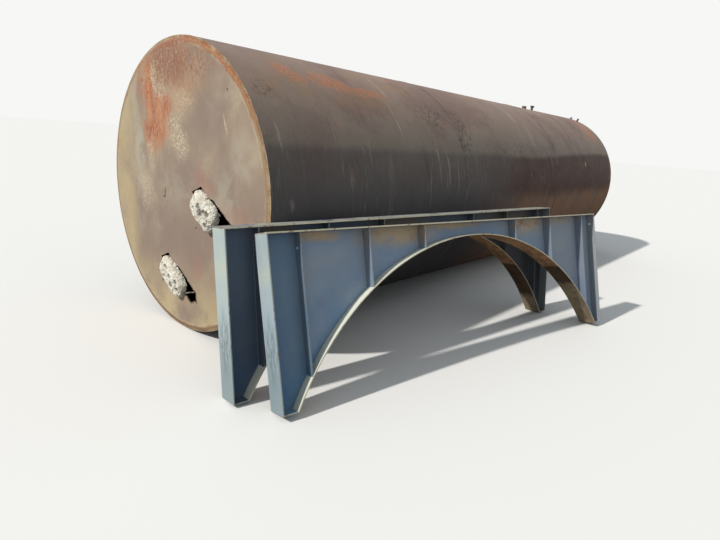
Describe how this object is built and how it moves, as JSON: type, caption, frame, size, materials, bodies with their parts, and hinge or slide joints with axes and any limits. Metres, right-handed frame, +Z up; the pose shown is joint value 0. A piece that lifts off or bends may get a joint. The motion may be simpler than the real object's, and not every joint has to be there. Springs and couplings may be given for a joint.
{
  "type": "horizontal pressure tank",
  "caption": "Horizontal welded steel tank with flat heads and top fittings, lying beside a pair of plate saddles that stand upside down and lean against its side.",
  "frame": {"origin": "middle of the footprint of the tank and its saddles, on the floor", "axes": "+X along the tank from the slotted left head to the right head, +Y from the saddles toward the tank, +Z up"},
  "size_m": [8.5081, 3.8486, 2.5161],
  "materials": {
    "shell": "matt, chalked and rusting",
    "weld": "matt, rusting",
    "left_head": "matt primer, scuffed and rusting at the rim",
    "right_head": "matt primer, rusting at the rim",
    "plug": "rough crust",
    "fitting": "matt",
    "saddle": "satin, faded",
    "base_plate": "satin, worn and rusting"
  },
  "bodies": {
    "root": {"shell_course_1": "shell", "shell_course_2": "shell", "shell_course_3": "shell", "girth_weld_1": "weld", "girth_weld_2": "weld", "seam_weld_1": "weld", "seam_weld_2": "weld", "seam_weld_3": "weld", "left_head_weld": "weld", "right_head_weld": "weld", "left_head": "left_head", "right_head": "right_head", "upper_slot_plug": "plug", "lower_slot_plug": "plug", "filling_socket": "fitting", "vent_pipe": "fitting", "vent_cap": "fitting", "short_stub": "fitting", "tall_stub": "fitting", "inner_saddle_web": "saddle", "inner_saddle_base_plate": "base_plate", "inner_saddle_arch_plate": "saddle", "inner_saddle_left_end_plate": "saddle", "inner_saddle_right_end_plate": "saddle", "inner_saddle_left_foot": "saddle", "inner_saddle_right_foot": "saddle", "inner_saddle_front_stiffeners": "saddle", "inner_saddle_rear_stiffeners": "saddle", "outer_saddle_web": "saddle", "outer_saddle_base_plate": "base_plate", "outer_saddle_arch_plate": "saddle", "outer_saddle_left_end_plate": "saddle", "outer_saddle_right_end_plate": "saddle", "outer_saddle_left_foot": "saddle", "outer_saddle_right_foot": "saddle", "outer_saddle_front_stiffeners": "saddle", "outer_saddle_rear_stiffeners": "saddle"}
  },
  "joints": []
}
